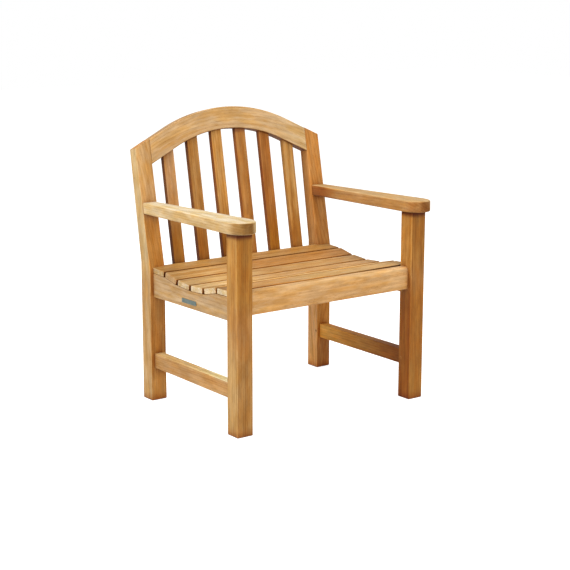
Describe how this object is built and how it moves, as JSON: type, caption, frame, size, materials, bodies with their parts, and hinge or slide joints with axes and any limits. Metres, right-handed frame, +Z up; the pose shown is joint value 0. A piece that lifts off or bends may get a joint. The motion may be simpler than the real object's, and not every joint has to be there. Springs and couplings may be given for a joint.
{
  "type": "garden armchair",
  "caption": "Wooden garden armchair with square legs, flat arms, a dished slatted seat and vertical back slats under an arched crest rail.",
  "frame": {"origin": "centre of the bounding box on the ground, between the four feet", "axes": "+Z up, -Y the way the sitter faces, +X to the right of a viewer who faces the chair's front"},
  "size_m": [0.754, 0.6304, 0.9019],
  "materials": {
    "teak_legs": "oiled teak, straight grain along the leg",
    "teak_rails": "oiled teak, straight grain along the rail",
    "teak_back": "oiled teak, straight grain along the board",
    "teak_seat": "oiled teak, straight grain across the seat",
    "teak_arms": "oiled teak, pale on top",
    "peg_wood": "end grain",
    "plate_metal": "satin, blue-grey, blank",
    "stainless": "stainless steel"
  },
  "bodies": {
    "root": {"front_leg_left": "teak_legs", "front_leg_right": "teak_legs", "back_post_left": "teak_legs", "back_post_right": "teak_legs", "arm_left": "teak_arms", "arm_right": "teak_arms", "side_rail_left": "teak_rails", "side_rail_right": "teak_rails", "side_stretcher_left": "teak_rails", "side_stretcher_right": "teak_rails", "front_rail": "teak_rails", "rear_rail": "teak_rails", "crest_rail": "teak_back", "back_slat_1": "teak_back", "back_slat_2": "teak_back", "back_slat_3": "teak_back", "back_slat_4": "teak_back", "back_slat_5": "teak_back", "back_slat_6": "teak_back", "seat_slat_1": "teak_seat", "seat_slat_2": "teak_seat", "seat_slat_3": "teak_seat", "seat_slat_4": "teak_seat", "seat_slat_5": "teak_seat", "seat_slat_6": "teak_seat", "peg_front_rail_left": "peg_wood", "peg_front_rail_right": "peg_wood", "peg_rear_rail_left": "peg_wood", "peg_rear_rail_right": "peg_wood", "peg_side_rail_front_left": "peg_wood", "peg_side_rail_front_right": "peg_wood", "peg_side_rail_rear_left": "peg_wood", "peg_side_rail_rear_right": "peg_wood", "peg_side_stretcher_front_left": "peg_wood", "peg_side_stretcher_front_right": "peg_wood", "peg_side_stretcher_rear_left": "peg_wood", "peg_side_stretcher_rear_right": "peg_wood", "peg_crest_rail_left": "peg_wood", "peg_crest_rail_right": "peg_wood", "arm_plug_left": "peg_wood", "arm_plug_right": "peg_wood", "arm_screw_left": "stainless", "arm_screw_right": "stainless", "seat_screw_left_1": "stainless", "seat_screw_left_2": "stainless", "seat_screw_left_3": "stainless", "seat_screw_left_4": "stainless", "seat_screw_left_5": "stainless", "seat_screw_left_6": "stainless", "seat_screw_right_1": "stainless", "seat_screw_right_2": "stainless", "seat_screw_right_3": "stainless", "seat_screw_right_4": "stainless", "seat_screw_right_5": "stainless", "seat_screw_right_6": "stainless", "plate": "plate_metal", "plate_pin_front": "plate_metal", "plate_pin_rear": "plate_metal"}
  },
  "joints": []
}
